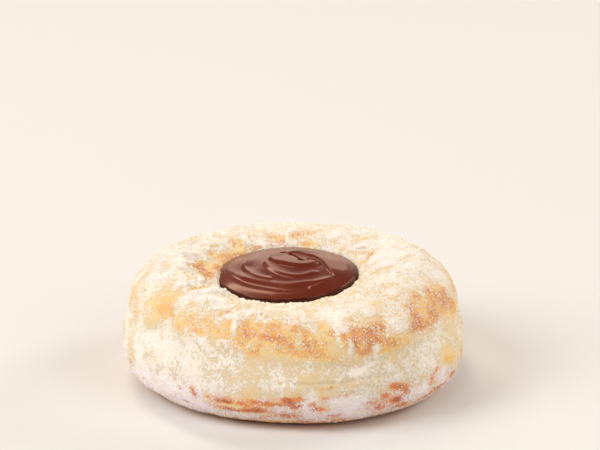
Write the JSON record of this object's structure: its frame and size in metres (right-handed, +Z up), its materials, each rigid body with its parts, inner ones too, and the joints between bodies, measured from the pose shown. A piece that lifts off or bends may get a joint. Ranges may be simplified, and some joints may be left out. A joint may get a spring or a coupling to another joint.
{
  "type": "chocolate cream filled doughnut",
  "caption": "Sugar-dusted ring of fried dough with a central well that is filled with swirled chocolate cream.",
  "frame": {"origin": "middle of the flat foot that the doughnut rests on", "axes": "+Z up through the well, -Y towards the front that the picture shows, +X to the right of that view"},
  "size_m": [0.0882, 0.0897, 0.0322],
  "materials": {
    "fried_dough": "matt golden fried crust with a paler band round the side, dusted with fine white sugar",
    "chocolate_cream": "glossy smooth milk-chocolate spread"
  },
  "bodies": {
    "root": {"dough": "fried_dough", "cream": "chocolate_cream"}
  },
  "joints": []
}
